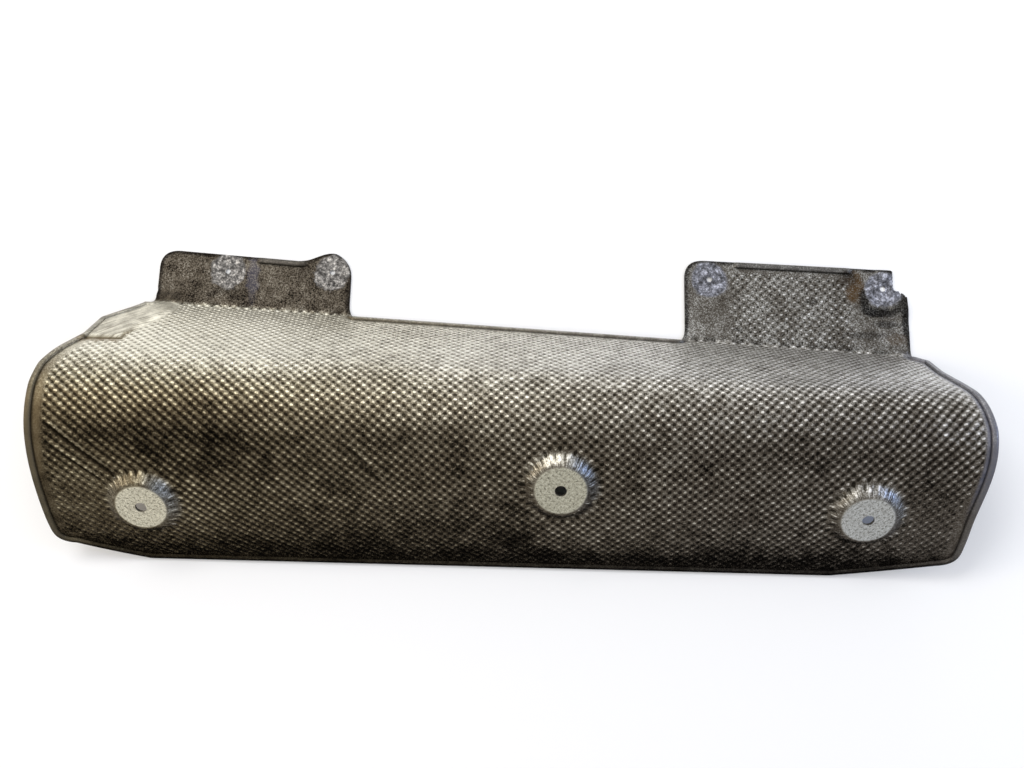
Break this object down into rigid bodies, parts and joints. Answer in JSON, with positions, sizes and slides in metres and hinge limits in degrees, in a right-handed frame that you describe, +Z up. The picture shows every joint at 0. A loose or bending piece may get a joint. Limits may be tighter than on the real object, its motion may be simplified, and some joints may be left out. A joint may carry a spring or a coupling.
{
  "type": "exhaust heat shield",
  "caption": "Embossed aluminium exhaust heat shield: a long half tunnel with raised screw pads, folded hem and fixing tabs along its rear edge.",
  "frame": {"origin": "centre of the bounding box in X and Y, at the level that the tabs and the front edge rest on", "axes": "+X along the shield, towards the end with the torn tab corner; +Y from the front edge towards the tabs; +Z up, away from the pipe side"},
  "size_m": [0.598, 0.2206, 0.0773],
  "materials": {
    "skin": "embossed, dull and heat-stained, with corroded spots"
  },
  "bodies": {
    "root": {"heat_shield": "skin"}
  },
  "joints": []
}
